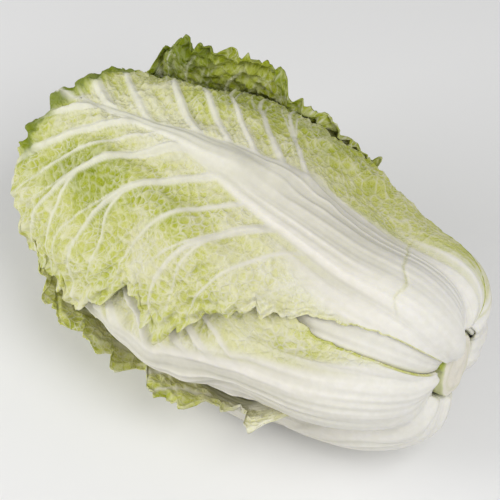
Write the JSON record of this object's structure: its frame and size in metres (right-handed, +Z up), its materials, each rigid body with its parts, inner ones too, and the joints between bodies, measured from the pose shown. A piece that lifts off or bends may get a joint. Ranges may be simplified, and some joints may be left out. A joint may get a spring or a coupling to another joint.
{
  "type": "napa cabbage",
  "caption": "Barrel-shaped head of overlapping broad-ribbed leaves with frilled margins, trimmed at the stem and lying on its side.",
  "frame": {"origin": "on the table under the middle of the head's bounding box", "axes": "+X along the head towards its cut stem, +Z up, and +Y to the side away from the leaf that lies on the table"},
  "size_m": [0.2805, 0.1538, 0.1485],
  "materials": {
    "heart_leaf": "young leaf, satin",
    "stem_flesh": "cut stem, matt",
    "leaf": "waxy leaf, satin"
  },
  "bodies": {
    "root": {"heart": "heart_leaf", "stem": "stem_flesh", "leaf_young_upper": "leaf", "leaf_young_lower": "leaf", "leaf_far_inner": "leaf", "leaf_near_inner": "leaf", "leaf_under": "leaf", "leaf_near": "leaf", "leaf_far_upper": "leaf", "leaf_top": "leaf", "leaf_table": "leaf", "leaf_far": "leaf"}
  },
  "joints": []
}
